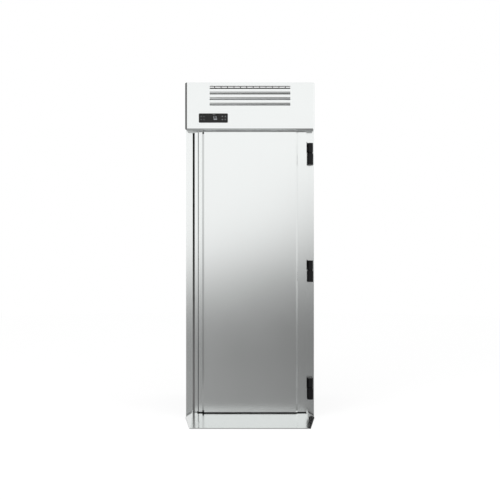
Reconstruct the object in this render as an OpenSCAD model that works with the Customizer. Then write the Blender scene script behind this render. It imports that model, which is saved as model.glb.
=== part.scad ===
// Roll-in refrigerator: a single insulated upright cabinet with an entry ramp, one full-height door
// on three rising hinges, and a top-mounted refrigeration unit behind a tilting louvred fascia.
// Millimetres. The origin is at floor level, in the middle of the cabinet's footprint.
// +X is to the right, +Y is to the back and +Z is up.

/* [Cabinet] */
// Width of the cabinet
body_w = 850; // [780:10:1000]
// Depth of the cabinet, from the post faces to the back
body_d = 900; // [820:10:1000]
// Overall height of the refrigerator
overall_h = 2207; // [2000:1:2300]
// Height of the refrigeration unit that stands on the insulated box
unit_h = 302; // [290:2:340]
// Thickness of the insulated ceiling
ceiling_t = 60; // [56:1:80]
// Thickness of each insulated side wall
side_wall = 85; // [70:1:95]
// Thickness of the insulated back wall
back_wall = 85; // [60:5:100]
// Height of the insulated floor
floor_h = 36; // [30:1:45]
// Thickness of the outer steel skins
skin_t = 1.2; // [0.8:0.1:2]
// Thickness of the inner liners
liner_t = 1; // [0.8:0.1:1.4]
// Width of the front face of each breaker strip
breaker_w = 8; // [6:0.5:12]
// Thickness of the breaker strips
breaker_t = 3; // [2:0.5:4]
// Depth of the breaker strips from the post face
breaker_d = 45; // [30:1:60]
// Radius of the coves between floor and walls
cove_r = 14; // [8:1:20]

/* [Door] */
// Width of the post to the left of the door
left_post_w = 60; // [50:1:62]
// Width of the post to the right of the door, behind the hinges
right_post_w = 52.5; // [52:0.5:58]
// Gap between the door and the ramp at the post faces
door_floor_gap = 2.5; // [2.5:0.5:10]
// Gap between the door and the fascia above it
door_top_gap = 9; // [9:0.5:14]
// Gap between the post faces and the back of the door
door_back_gap = 10; // [8:0.5:14]
// Thickness of the door at its flat margins
door_t = 40; // [34:1:50]
// How far the pull lip lies behind the margins
lip_drop = 13; // [8:1:18]
// Width of the pull lip
lip_w = 17; // [12:1:20]
// Distance of the raised panel's flat from the sides of the opening
panel_inset = 38; // [35:1:50]
// Rise of the raised panel
panel_rise = 13; // [8:1:16]
// Thickness of the plastic caps in the door's ends
cap_t = 3; // [2:0.5:5]
// Width of the bevels beside the raised panel
bevel_w = 13.5; // [8:0.5:18]
// Height of the notches at both ends of the left bevel
bevel_notch = 12; // [6:1:20]
// Clear width beside the inner plug of the door
plug_gap = 5; // [4:0.5:12]
// How far the plug stands into the opening
plug_depth = 15; // [10:1:20]
// Clear height between the plug and the head of the opening
plug_head_gap = 9; // [8.5:0.5:14]
// Width of the gasket's base
gasket_w = 18; // [16:1:20]
// Gap between the gasket and the frame
gasket_gap = 0.4; // [0.3:0.1:1]
// How far the black grip profile stands out past the lip
grip_w = 13.5; // [8:0.5:16]
// Gap between the sweep and the ramp below it
sweep_gap = 1.2; // [1:0.1:3]

/* [Hinges] */
// Height of the joint of the lowest hinge
low_hinge_z = 195; // [150:1:300]
// Distance of the top hinge's joint below the top of the door
hinge_drop = 134; // [100:1:200]
// Distance of the hinge axis from the door's edge
pin_offset = 26.5; // [26:0.5:32]
// Distance of the hinge axis in front of the post faces
pin_front = 31; // [30:1:40]
// Diameter of the hinge pins
pin_d = 12; // [10:0.5:14]
// Radial running clearance of the pins
pin_clear = 0.06; // [0.03:0.01:0.09]
// Radius of the fixed half of a hinge
frame_half_r = 20; // [19:0.5:22]
// Height of the fixed half
frame_half_h = 73; // [65:1:85]
// Radius of the door half
door_half_r = 18.5; // [18:0.5:20]
// Height of the door half
door_half_h = 66; // [60:1:80]
// How far the leaf stands above the barrel
leaf_extra = 5; // [2:1:10]
// Height of the ring of cams seen between the halves
ring_h = 7; // [5:0.5:9]
// Radius of the cams
cam_r = 15; // [13:0.5:15.2]
// Rise of each cam ramp over half a turn
cam_rise = 12; // [6:1:12]
// Gap between the upper and the lower cam
cam_gap = 0.3; // [0.2:0.05:0.6]

/* [Ramp] */
// Length of the ramp along the floor
ramp_len = 398; // [300:2:500]
// Height of the lip at the front of the ramp
ramp_lip = 5; // [3:0.5:8]
// Distance of the ramp's front corners inwards from the cabinet's sides
ramp_taper = 49.5; // [42:0.5:80]
// Length of the straight sides at the back
ramp_straight = 70; // [40:1:120]
// Distance of the fold lines' back ends inwards from the cabinet's sides
fold_inset = 41; // [30:1:41]
// Height of the ramp at its back corners
ramp_corner_h = 13; // [8:1:20]
// Thickness of the ramp plate
ramp_t = 3; // [2:0.5:4]

/* [Fascia] */
// How far the fascia's front face stands in front of the posts
fascia_front = 67; // [60:1:75]
// Depth and height of the bevel along the bottom of the fascia
fascia_bevel = 14; // [8:1:18]
// Width of the bevels at the sides of the fascia
side_bevel = 14.5; // [8:0.5:16]
// Depth of the bevels at the sides of the fascia
side_bevel_d = 30; // [13:1:40]
// How far the fascia stands past each side of the cabinet
fascia_side = 3.5; // [0:0.5:6]
// Size of the cut-off lower corners
corner_cut = 15; // [6:1:20]
// Depth of the return along the bottom of the fascia
fascia_return = 58; // [35:1:60]
// Gap between the fascia and the side shrouds
fascia_gap = 2; // [1.5:0.5:4]
// Distance of the fascia's hinge axis behind its front face
tilt_back = 25; // [20:1:32]
// Distance of that axis below the top of the fascia
tilt_down = 10; // [8:1:14]
// Diameter of the fascia's hinge pins
tilt_pin_d = 8; // [6:0.5:10]

/* [Louvres and controller] */
// Number of louvre slots
slot_n = 4; // [2:1:5]
// Distance of the slots' ends from the cabinet's sides
slot_inset = 160; // [120:1:220]
// Height of each slot
slot_h = 20.5; // [12:0.5:22]
// Distance between slots
slot_pitch = 36.5; // [30:0.5:40]
// Distance of the first slot's top edge below the top of the fascia
slot_first = 22.5; // [20:0.5:30]
// Depth of the louvre vanes
vane_d = 18; // [15:1:30]
// Slope of the louvre vanes
vane_angle = 62; // [30:1:70]
// Width of the controller
control_w = 191; // [150:1:220]
// Height of the controller
control_h = 61; // [50:1:70]
// Distance of the controller's middle from the left side of the cabinet
control_inset = 184; // [140:1:280]
// Height of the controller's middle above the fascia's lower fold
control_up = 68; // [50:1:90]

/* [Machine compartment] */
// Gap between the top of the side shrouds and the top of the fascia
shroud_drop = 12; // [8:1:20]
// Width of the flanges of the side shrouds
shroud_flange = 25; // [15:1:35]
// Distance between the bars of the front vent row
vent_pitch = 43; // [30:1:60]
// Width of each bar of the vent row
vent_bar = 9; // [6:1:18]
// Length of the vents from front to back
vent_len = 42; // [30:1:80]
// Radius of the condenser fan
fan_r = 98; // [80:1:105]
// Radius of the evaporator fans
evap_fan_r = 84; // [70:1:90]
// Radius of the compressor shell
compressor_r = 82; // [70:1:90]
// Height of the compressor shell
compressor_h = 195; // [160:1:210]

/* [Hidden] */

$fn = 48;
steel = [0.80, 0.80, 0.79];
dull_steel = [0.62, 0.63, 0.63];
black = [0.10, 0.10, 0.11];
foam = [0.93, 0.88, 0.70];
white_plastic = [0.90, 0.90, 0.88];
copper = [0.72, 0.43, 0.25];

// Planes of the cabinet
side_x = body_w / 2;
front_y = -body_d / 2;
back_y = body_d / 2;
deck_z = overall_h - unit_h;
opening_top_z = deck_z - ceiling_t;
open_x = side_x - side_wall;
liner_x = open_x + liner_t;
core_x = side_x - skin_t;
inner_back_y = back_y - back_wall;
liner_back_y = inner_back_y + liner_t;
deck_under_z = deck_z - skin_t;
breaker_edge_x = open_x + breaker_w;
liner_top_z = opening_top_z + liner_t;
plate_z = floor_h - skin_t;
clear = 0.5;

// Planes of the door
door_left = -side_x + left_post_w;
door_right = side_x - right_post_w;
panel_half_w = open_x - panel_inset;
plug_half_w = open_x - plug_gap;
door_back_y = front_y - door_back_gap;
margin_y = door_back_y - door_t;
lip_y = margin_y + lip_drop;
panel_y = margin_y - panel_rise;
door_z0 = floor_h + door_floor_gap;
door_z1 = fascia_rim_z() - door_top_gap;
plug_y = front_y + plug_depth;
plug_z0 = door_z0 + 22;
plug_z1 = opening_top_z - plug_head_gap;
pin_x = door_right + pin_offset;
pin_y = front_y - pin_front;
high_hinge_z = door_z1 - hinge_drop;
hinge_z = [low_hinge_z, (low_hinge_z + high_hinge_z) / 2, high_hinge_z];
gasket_in_x = open_x + 4;

// Planes of the fascia and the machine compartment
fascia_y = front_y - fascia_front;
fascia_x = side_x + fascia_side;
fascia_back_y = front_y - fascia_gap;
tilt_y = fascia_y + tilt_back;
tilt_z = overall_h - tilt_down;
shroud_z = overall_h - shroud_drop;
cover_z = shroud_z + skin_t;
function fascia_fold_z() = deck_z - 1;
function fascia_rim_z() = fascia_fold_z() - fascia_bevel;
function slot_z(i) = overall_h - slot_first - slot_h - i * slot_pitch;
slot_half_w = side_x - slot_inset;
control_x = -side_x + control_inset;
control_z = fascia_fold_z() + control_up;

// Places in the machine compartment, on a grid of 85 by 90 steps over the cabinet
step_x = body_w / 85;
step_y = body_d / 90;
coil_y = front_y + 5 * step_y;
coil_d = 60;
coil_half_w = 27 * step_x;
coil_h = 225;
fan_y = coil_y + coil_d + 22;
fan_z = deck_z + 118;
compressor_pos = [-12 * step_x, -9 * step_y];
evap_y0 = 4 * step_y;
evap_y1 = back_y - 25;
evap_half_w = 31 * step_x;
evap_h = 255;
evap_wall = 25;
evap_fan_x = 16 * step_x;
evap_fan_y = evap_y0 + evap_wall + evap_fan_r + 16;
duct_y = inner_back_y - 30;
duct_half_w = open_x - 40;
box_x0 = 19 * step_x;
box_x1 = side_x - 30;
box_y0 = -22 * step_y;
box_y1 = -4 * step_y;
box_h = 160;
gland_x = 35 * step_x;
gland_z = deck_z + 70;
tray_x0 = -side_x + 30;
tray_x1 = -26.5 * step_x;
tray_y0 = -29 * step_y;
tray_y1 = 0;
tray_h = 45;

// General shapes
module box(x0, x1, y0, y1, z0, z1) {
  translate([x0, y0, z0]) cube([x1 - x0, y1 - y0, z1 - z0]);
}
// A drawing of (y, z) drawn out along X
module run_x(x0, x1) {
  translate([x0, 0, 0]) rotate([90, 0, 90]) linear_extrude(x1 - x0) children();
}
// A drawing of (x, z) drawn out along Y
module run_y(y0, y1) {
  translate([0, y1, 0]) rotate([90, 0, 0]) linear_extrude(y1 - y0) children();
}
// A drawing of (x, y) drawn out along Z
module run_z(z0, z1) {
  translate([0, 0, z0]) linear_extrude(z1 - z0) children();
}
module both_sides() {
  children();
  mirror([1, 0, 0]) children();
}
module rod_z(x, y, r, z0, z1) {
  translate([x, y, z0]) cylinder(r = r, h = z1 - z0);
}
module rod_y(x, z, r, y0, y1) {
  translate([x, y1, z]) rotate([90, 0, 0]) cylinder(r = r, h = y1 - y0);
}
module rod_x(y, z, r, x0, x1) {
  translate([x0, y, z]) rotate([0, 90, 0]) cylinder(r = r, h = x1 - x0);
}
// A bent pipe through a list of points, with round elbows
module pipe(points, r) {
  for (i = [0 : len(points) - 2]) {
    a = points[i];
    d = points[i + 1] - a;
    turn = atan2(d.y, d.x);
    tip = atan2(norm([d.x, d.y]), d.z);
    translate(a) rotate([0, tip, turn]) cylinder(r = r, h = norm(d), $fn = 24);
  }
  for (i = [1 : len(points) - 2]) translate(points[i]) sphere(r = r, $fn = 24);
}
function unit(v) = v / norm(v);
// The same outline, moved inwards by d. The points run counterclockwise.
function inset(p, d) = [
  for (i = [0 : len(p) - 1])
    let (
      before = p[(i + len(p) - 1) % len(p)],
      after = p[(i + 1) % len(p)],
      u = unit(p[i] - before),
      v = unit(after - p[i]),
      m = [-u.y, u.x],
      n = [-v.y, v.x]
    )
    p[i] + d * (m + n) / (1 + m * n)
];
function arc(cx, cy, r, a0, a1, n) = [
  for (i = [0 : n]) let (a = a0 + (a1 - a0) * i / n) [cx + r * cos(a), cy + r * sin(a)]
];

// Insulated floor
module floor_pan() {
  color(dull_steel) difference() {
    box(-open_x, open_x, front_y, inner_back_y, 0, plate_z);
    box(-open_x - 1, open_x + 1, front_y + skin_t, inner_back_y + 1, skin_t, plate_z + 1);
  }
}
module floor_core() {
  color(foam) box(-open_x, open_x, front_y + skin_t, inner_back_y, skin_t, plate_z);
}
module floor_plate() {
  color(steel) box(-open_x, open_x, front_y, inner_back_y, plate_z, floor_h);
}
// Quarter-round coves of sheet steel between the floor plate and the liners
module cove_profile() {
  intersection() {
    square(cove_r);
    difference() {
      square(cove_r);
      translate([cove_r, cove_r]) circle(r = cove_r - liner_t);
    }
  }
}
module floor_coves() {
  y0 = front_y + breaker_d + 4;
  color(steel) {
    both_sides() translate([-open_x, 0, floor_h]) run_y(y0, inner_back_y - cove_r - clear)
      cove_profile();
    translate([0, inner_back_y, floor_h]) mirror([0, 1, 0]) run_x(-open_x, open_x)
      cove_profile();
  }
}

// Insulated walls. The front corner makes room for the breaker strip.
module side_wall_plan() {
  polygon([
    [-core_x, back_y - skin_t],
    [-core_x, front_y + skin_t],
    [-breaker_edge_x, front_y + skin_t],
    [-breaker_edge_x, front_y + breaker_t],
    [-open_x - breaker_t, front_y + breaker_t],
    [-open_x - breaker_t, front_y + breaker_d],
    [-liner_x, front_y + breaker_d],
    [-liner_x, back_y - skin_t]
  ]);
}
module side_wall_cores() {
  color(foam) both_sides() run_z(0, deck_under_z) side_wall_plan();
}
module back_wall_core() {
  color(foam) box(-liner_x, liner_x, liner_back_y, back_y - skin_t, 0, deck_under_z);
}
// Holes through the ceiling: two round ones for the fans and a supply slot down to the duct
module ceiling_holes(grow, z0, z1) {
  for (s = [-1, 1]) rod_z(s * evap_fan_x, evap_fan_y, evap_fan_r + 8 + grow, z0, z1);
  box(
    -duct_half_w + 25 - grow, duct_half_w - 25 + grow, duct_y + 5 - grow,
    inner_back_y - 4 + grow, z0, z1
  );
}
module ceiling_core() {
  color(foam) difference() {
    run_x(-liner_x, liner_x) polygon([
      [front_y + skin_t, deck_under_z],
      [front_y + skin_t, opening_top_z + breaker_w],
      [front_y + breaker_t, opening_top_z + breaker_w],
      [front_y + breaker_t, opening_top_z + breaker_t],
      [front_y + breaker_d, opening_top_z + breaker_t],
      [front_y + breaker_d, liner_top_z],
      [liner_back_y, liner_top_z],
      [liner_back_y, deck_under_z]
    ]);
    ceiling_holes(0, liner_top_z - 30, deck_under_z + 1);
  }
}

// Outer skins: each side skin is folded round the post
module side_skin_plan() {
  polygon([
    [-side_x, back_y - skin_t],
    [-side_x, front_y],
    [-breaker_edge_x, front_y],
    [-breaker_edge_x, front_y + skin_t],
    [-core_x, front_y + skin_t],
    [-core_x, back_y - skin_t]
  ]);
}
module side_skin() {
  run_z(0, deck_under_z) side_skin_plan();
}
module left_outer_skin() {
  color(steel) side_skin();
}
module right_outer_skin() {
  color(steel) mirror([1, 0, 0]) side_skin();
}
module back_outer_skin() {
  color(dull_steel) box(-side_x, side_x, back_y - skin_t, back_y, 0, deck_under_z);
}
module top_deck() {
  head_z = opening_top_z + breaker_w;
  color(steel) difference() {
    union() {
      box(-side_x, side_x, front_y, back_y, deck_under_z, deck_z);
      box(
        -breaker_edge_x, breaker_edge_x, front_y, front_y + skin_t, head_z, deck_under_z
      );
    }
    ceiling_holes(0, deck_under_z - 1, deck_z + 1);
  }
}

// Inner liners
module side_liners() {
  color(steel) both_sides()
    box(-liner_x, -open_x, front_y + breaker_d, liner_back_y, 0, opening_top_z);
}
module back_liner() {
  color(steel) box(-open_x, open_x, inner_back_y, liner_back_y, 0, opening_top_z);
}
module ceiling_liner() {
  color(steel) difference() {
    box(-liner_x, liner_x, front_y + breaker_d, liner_back_y, opening_top_z, liner_top_z);
    ceiling_holes(0, opening_top_z - 1, liner_top_z + 1);
  }
}
module breaker_profile() {
  polygon([[0, 0], [breaker_w, 0], [breaker_w, breaker_t], [breaker_t, breaker_t],
    [breaker_t, breaker_d], [0, breaker_d]]);
}
module breaker_strips() {
  color(white_plastic) {
    both_sides() translate([open_x, front_y, 0]) run_z(floor_h, opening_top_z - clear)
      breaker_profile();
    box(
      -breaker_edge_x, breaker_edge_x, front_y, front_y + breaker_t, opening_top_z,
      opening_top_z + breaker_w
    );
    box(
      -open_x - breaker_t, open_x + breaker_t, front_y + breaker_t, front_y + breaker_d,
      opening_top_z, opening_top_z + breaker_t
    );
  }
}

// Bumper rails that keep a trolley off the liners, on spacers
rail_h = 42;
rail_d = 18;
rail_spacer = 6;
rail_ends = 25;
rail_shares = [0.124, 0.478];
module bumper_rail(z) {
  x = -open_x + rail_spacer;
  y0 = front_y + breaker_d + rail_ends;
  y1 = duct_y - rail_ends / 2;
  first = y0 + 3 * rail_d;
  span = y1 - y0 - 6 * rail_d;
  hull() for (y = [y0 + rail_d, y1 - rail_d])
    translate([x, y, z]) intersection() {
      cylinder(r = rail_d, h = rail_h, $fn = 32);
      box(0, rail_d, -rail_d, rail_d, 0, rail_h);
    }
  for (i = [0 : 2]) rod_x(first + i * span / 2, z + rail_h / 2, rail_d / 2, -open_x, x);
}
module bumper_rails() {
  color(dull_steel) both_sides() for (share = rail_shares)
    bumper_rail(floor_h + share * (opening_top_z - floor_h));
}

// Rear air duct: a panel with side flanges and pairs of supply slots
duct_z0 = floor_h + 84;
duct_t = 1.5;
duct_rows = 9;
module air_duct_panel() {
  gap = duct_half_w / 10;
  first_z = duct_z0 + 90;
  row_pitch = (opening_top_z - first_z - 195) / (duct_rows - 1);
  color(white_plastic) difference() {
    box(-duct_half_w, duct_half_w, duct_y, inner_back_y, duct_z0, opening_top_z);
    box(
      -duct_half_w + duct_t, duct_half_w - duct_t, duct_y + duct_t, inner_back_y + 1,
      duct_z0 + duct_t, opening_top_z + 1
    );
    for (i = [0 : duct_rows - 1])
      both_sides() box(
        gap, duct_half_w - 2 * gap, duct_y - 1, duct_y + 2 * duct_t,
        first_z + i * row_pitch, first_z + 12 + i * row_pitch
      );
  }
}

// Ceiling lamp behind the head of the opening
lamp_half_w = 150;
lamp_half_d = 30;
lamp_h = 12;
lamp_t = 3;
lamp_y = front_y + breaker_d + 2 * lamp_half_d;
module lamp_housing() {
  color(white_plastic) difference() {
    box(
      -lamp_half_w, lamp_half_w, lamp_y - lamp_half_d, lamp_y + lamp_half_d,
      opening_top_z - lamp_h, opening_top_z
    );
    box(
      -lamp_half_w + lamp_t, lamp_half_w - lamp_t, lamp_y - lamp_half_d + lamp_t,
      lamp_y + lamp_half_d - lamp_t, opening_top_z - lamp_h - 1, opening_top_z - 2
    );
  }
}
module lamp_lens() {
  half = lamp_half_d - lamp_t - clear;
  half_w = lamp_half_w - lamp_t - clear;
  z = opening_top_z - lamp_t;
  color([0.95, 0.96, 0.97, 0.8]) difference() {
    intersection() {
      rod_x(lamp_y, z, half, -half_w, half_w);
      box(-half_w, half_w, lamp_y - half, lamp_y + half, z - half, z);
    }
    rod_x(lamp_y, z, half - 2, -half_w + 2, half_w - 2);
  }
}
probe_r = 3.5;
module temperature_probe() {
  x = duct_half_w - 50;
  y = duct_y - 30;
  z = opening_top_z - 12;
  clip = 1.7 * probe_r;
  color(black) {
    rod_x(y, z, probe_r, x - 10 * probe_r, x + 10 * probe_r);
    for (dx = [-16, 16])
      box(x + dx - 4, x + dx + 4, y - clip, y + clip, z - clip, opening_top_z);
  }
}

// Entry ramp. The side facets fall from the fold lines to low lips.
ramp_half_w = side_x - 2.5;
ramp_front_x = side_x - ramp_taper;
fold_half_w = side_x - fold_inset;
ramp_y1 = front_y - ramp_len;
function ramp_z(y) = floor_h + (y - front_y) * (floor_h - ramp_lip) / ramp_len;
facet_slope = (floor_h - ramp_corner_h) / (ramp_half_w - fold_half_w);
ramp_tip_h = 1.5;
facet_fall = (floor_h - facet_slope * (ramp_front_x - fold_half_w) - ramp_tip_h) / ramp_len;
function facet_z(x, y) = floor_h - facet_slope * (x - fold_half_w) + facet_fall * (y - front_y);
function fold_x(y) = fold_half_w + (facet_fall * (y - front_y) + floor_h - ramp_z(y)) / facet_slope;
module ramp() {
  ym = front_y - ramp_straight;
  xf = ramp_front_x;
  edge = [
    [ramp_half_w, front_y],
    [ramp_half_w, ym],
    [xf, ramp_y1],
    [-xf, ramp_y1],
    [-ramp_half_w, ym],
    [-ramp_half_w, front_y]
  ];
  low = [for (p = edge) [p.x, p.y, 0]];
  lip = [for (p = edge) [p.x, p.y, facet_z(abs(p.x), p.y)]];
  fold = [
    [fold_x(front_y), front_y, floor_h],
    [fold_x(ramp_y1), ramp_y1, ramp_lip],
    [-fold_x(ramp_y1), ramp_y1, ramp_lip],
    [-fold_x(front_y), front_y, floor_h]
  ];
  color(steel) difference() {
    polyhedron(
      points = concat(low, lip, fold),
      faces = [
        [5, 4, 3, 2, 1, 0],
        [0, 1, 7, 6],
        [1, 2, 8, 7],
        [2, 3, 9, 14, 13, 8],
        [3, 4, 10, 9],
        [4, 5, 11, 10],
        [5, 0, 6, 12, 15, 11],
        [6, 7, 8, 13, 12],
        [9, 10, 11, 15, 14],
        [12, 13, 14, 15]
      ]
    );
    ramp_pockets();
  }
}
// Four hollows under the plate, with ribs between them
module ramp_pockets() {
  ribs = 3;
  rib_t = 4;
  back = front_y - 8;
  low_z = 3;
  half = fold_half_w - 20;
  w = (2 * half - ribs * rib_t) / (ribs + 1);
  slope_end = ramp_y1 + (ramp_t + low_z - ramp_lip) * ramp_len / (floor_h - ramp_lip);
  for (i = [0 : ribs])
    let (x = -half + i * (w + rib_t)) run_x(x, x + w) polygon([
      [back, -1],
      [back, ramp_z(back) - ramp_t],
      [slope_end, low_z],
      [slope_end, -1]
    ]);
}

// Rising hinges: the fixed half holds the lower cam, the door half the upper one
cavity_r = cam_r + clear;
cam_seat = 20;
pin_bore_r = pin_d / 2 + pin_clear;
module at_hinges() {
  for (z = hinge_z) translate([pin_x, pin_y, z]) children();
}
module hinge_frame_halves() {
  top = -ring_h / 2;
  color(black) at_hinges() difference() {
    union() {
      translate([0, 0, top - frame_half_h]) cylinder(r = frame_half_r, h = frame_half_h);
      box(-frame_half_r, frame_half_r, 0, pin_front, top - frame_half_h, top);
    }
    translate([0, 0, -cam_seat]) cylinder(r = cavity_r, h = cam_seat + 1);
    translate([0, 0, top - frame_half_h + 6]) cylinder(r = pin_bore_r, h = frame_half_h);
  }
}
// A body between a flat plane and a pair of helical ramps. It is cut to a ring where it is used.
module helix_stack(flat_z, shift) {
  steps = 9;
  near = 2;
  far = cam_r + 3;
  last = 4 * steps;
  for (half = [0, 180]) polyhedron(
    points = [
      for (i = [0 : steps])
        let (
          a = half + i * 180 / steps,
          h = shift + cam_rise * (i / steps - 0.5),
          low = min(h, flat_z),
          high = max(h, flat_z)
        )
        each [
          [near * cos(a), near * sin(a), low],
          [far * cos(a), far * sin(a), low],
          [far * cos(a), far * sin(a), high],
          [near * cos(a), near * sin(a), high]
        ]
    ],
    faces = concat(
      [[3, 2, 1, 0], [last, last + 1, last + 2, last + 3]],
      [
        for (i = [0 : steps - 1])
          for (k = [0 : 3])
            let (a = 4 * i + k, b = 4 * i + (k + 1) % 4)
            each [[a, b, a + 4], [b, b + 4, a + 4]]
      ]
    )
  );
}
module cam_ring(z0, z1) {
  difference() {
    translate([0, 0, z0]) cylinder(r = cam_r, h = z1 - z0);
    translate([0, 0, z0 - 1]) cylinder(r = pin_d / 2 + clear, h = z1 - z0 + 2);
  }
}
module hinge_lower_cams() {
  color(white_plastic) at_hinges() intersection() {
    cam_ring(-cam_seat, cam_rise);
    helix_stack(-cam_seat - 2, 0);
  }
}
module hinge_upper_cams() {
  wall_shift = 3;
  color(white_plastic) at_hinges() intersection() {
    cam_ring(-cam_rise, cam_seat);
    difference() {
      helix_stack(cam_seat + 2, cam_gap);
      for (s = [0, 180]) rotate([0, 0, s])
        translate([0, -1, -cam_rise]) cube([cam_r + 3, 1 + cam_r * sin(wall_shift), cam_rise * 1.5]);
    }
  }
}
module hinge_pins() {
  color(dull_steel) at_hinges() translate([0, 0, -frame_half_h + 16])
    cylinder(d = pin_d, h = frame_half_h - 16 + ring_h / 2 + door_half_h - 4);
}
module hinge_door_halves() {
  base = ring_h / 2;
  leaf_x0 = door_right - pin_x;
  leaf_y0 = margin_y - pin_y + 1;
  leaf_y1 = door_back_y - pin_y - 1;
  leaf_t = 5;
  color(black) at_hinges() difference() {
    union() {
      translate([0, 0, base]) cylinder(r = door_half_r, h = door_half_h);
      box(leaf_x0, leaf_x0 + leaf_t, leaf_y0, leaf_y1, base, base + door_half_h + leaf_extra);
      box(leaf_x0, 0, 3, 18, base, base + door_half_h);
    }
    translate([0, 0, base - 1]) cylinder(r = cavity_r, h = cam_seat - base + 1);
    translate([0, 0, base]) cylinder(r = pin_bore_r, h = door_half_h - 3);
  }
}

// Door, from one outline: the skin, and the foam core inside it
door_outline = concat(
  [[door_left, door_back_y], [door_left, lip_y]],
  arc(door_left + lip_w + lip_drop, lip_y, lip_drop, 180, 270, 6),
  [
    [-panel_half_w - bevel_w, margin_y],
    [-panel_half_w, panel_y],
    [panel_half_w, panel_y],
    [panel_half_w + bevel_w, margin_y],
    [door_right, margin_y],
    [door_right, door_back_y]
  ]
);
// The left bevel is cut away at its top and bottom ends, down to the flat margin
module bevel_notches(grow) {
  x0 = -panel_half_w - bevel_w - 1;
  x1 = -panel_half_w + grow;
  h = bevel_notch + grow;
  for (z = [door_z0 - 1, door_z1 - h]) box(x0, x1, panel_y - 1, margin_y + grow, z, z + h + 1);
}
module door_skin() {
  color(steel) difference() {
    run_z(door_z0, door_z1) polygon(door_outline);
    bevel_notches(0);
    difference() {
      run_z(door_z0 - 1, door_z1 + 1) polygon(inset(door_outline, skin_t));
      bevel_notches(skin_t);
    }
    box(
      -plug_half_w - 6, plug_half_w + 6, door_back_y - skin_t - 1, door_back_y + 1,
      plug_z0 - 6, plug_z1 + 6
    );
  }
}
module door_inside(z0, z1) {
  difference() {
    run_z(z0, z1) polygon(inset(door_outline, skin_t));
    bevel_notches(skin_t);
  }
}
module door_end_caps() {
  color(black) {
    door_inside(door_z0, door_z0 + cap_t);
    door_inside(door_z1 - cap_t, door_z1);
  }
}
module door_core() {
  color(foam) {
    door_inside(door_z0 + cap_t, door_z1 - cap_t);
    box(
      -plug_half_w + liner_t, plug_half_w - liner_t, door_back_y - skin_t,
      plug_y - liner_t, plug_z0 + liner_t, plug_z1 - liner_t
    );
  }
}
module door_liner() {
  color(steel) difference() {
    union() {
      box(
        -plug_half_w - 6, plug_half_w + 6, door_back_y - skin_t, door_back_y,
        plug_z0 - 6, plug_z1 + 6
      );
      box(-plug_half_w, plug_half_w, door_back_y - skin_t, plug_y, plug_z0, plug_z1);
    }
    box(
      -plug_half_w + liner_t, plug_half_w - liner_t, door_back_y - skin_t - 1,
      plug_y - liner_t, plug_z0 + liner_t, plug_z1 - liner_t
    );
  }
}
// Three-sided gasket: a base strip and a hollow bulb
module gasket_u(in_grow, w) {
  x0 = gasket_in_x + in_grow;
  z1 = opening_top_z + 4 + in_grow;
  polygon([
    [-x0 - w, door_z0 + 8], [-x0, door_z0 + 8], [-x0, z1], [x0, z1], [x0, door_z0 + 8],
    [x0 + w, door_z0 + 8], [x0 + w, z1 + w], [-x0 - w, z1 + w]
  ]);
}
module door_gasket() {
  base_y = door_back_y + 3;
  tip_y = front_y - gasket_gap;
  color([0.45, 0.45, 0.46]) difference() {
    union() {
      run_y(door_back_y, base_y) gasket_u(0, gasket_w);
      run_y(base_y, tip_y) gasket_u(2, gasket_w - 4);
    }
    run_y(base_y + 1, tip_y - 1.5) gasket_u(4, gasket_w - 8);
  }
}
// Black edge profile behind the pull lip: a web on the door's edge and a leg for the fingers
module door_grip_profile() {
  web = 1.6;
  leg = 3;
  tip_x = door_left - grip_w;
  color(black) run_z(door_z0, door_z1) polygon(concat(
    [
      [door_left, door_back_y],
      [door_left, lip_y + 2],
      [door_left - web, lip_y + 2],
      [door_left - web, door_back_y - leg]
    ],
    arc(tip_x + leg / 2, door_back_y - leg / 2, leg / 2, 270, 90, 6)
  ));
}
module door_sweep() {
  base_t = 1.8;
  blade_t = 4;
  y = door_back_y - 33;
  tip_z = ramp_z(y + blade_t) + sweep_gap;
  color(black) {
    box(door_left + lip_w, door_right, y - 6, y + 32, door_z0 - base_t, door_z0);
    box(door_left + lip_w, door_right, y, y + blade_t, tip_z, door_z0 - base_t / 2);
  }
}

// Tilting fascia, from three views of one form
mitre = tan(22.5);
function side_view(t, y1) = [
  [y1, overall_h - t],
  [fascia_y + t, overall_h - t],
  [fascia_y + t, fascia_fold_z() + t * mitre],
  [fascia_y + fascia_bevel + t * mitre, fascia_rim_z() + t],
  [y1, fascia_rim_z() + t]
];
function top_view(t, y1) = inset([
  [-fascia_x, y1 + t],
  [-fascia_x, fascia_y + side_bevel_d],
  [-fascia_x + side_bevel, fascia_y],
  [fascia_x - side_bevel, fascia_y],
  [fascia_x, fascia_y + side_bevel_d],
  [fascia_x, y1 + t]
], t);
function front_view(t) = [
  [-fascia_x + t, overall_h - t],
  [-fascia_x + t, fascia_rim_z() + corner_cut + t * mitre],
  [-fascia_x + corner_cut + t * mitre, fascia_rim_z() + t],
  [fascia_x - corner_cut - t * mitre, fascia_rim_z() + t],
  [fascia_x - t, fascia_rim_z() + corner_cut + t * mitre],
  [fascia_x - t, overall_h - t]
];
module fascia_form(t, past) {
  y1 = fascia_back_y + past;
  intersection() {
    run_x(-fascia_x, fascia_x) polygon(side_view(t, y1));
    run_z(fascia_rim_z() - 1, overall_h + 1) polygon(top_view(t, y1));
    run_y(fascia_y - 1, y1) polygon(front_view(t));
  }
}
module control_window(grow, y0, y1) {
  r = 6;
  w = control_w / 2 + grow - r;
  h = control_h / 2 + grow - r;
  translate([control_x, 0, control_z]) run_y(y0, y1) union() {
    square([2 * (w + r), 2 * h], center = true);
    square([2 * w, 2 * (h + r)], center = true);
    for (sx = [-1, 1])
      for (sz = [-1, 1]) translate([sx * w, sz * h]) circle(r = r);
  }
}
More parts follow.
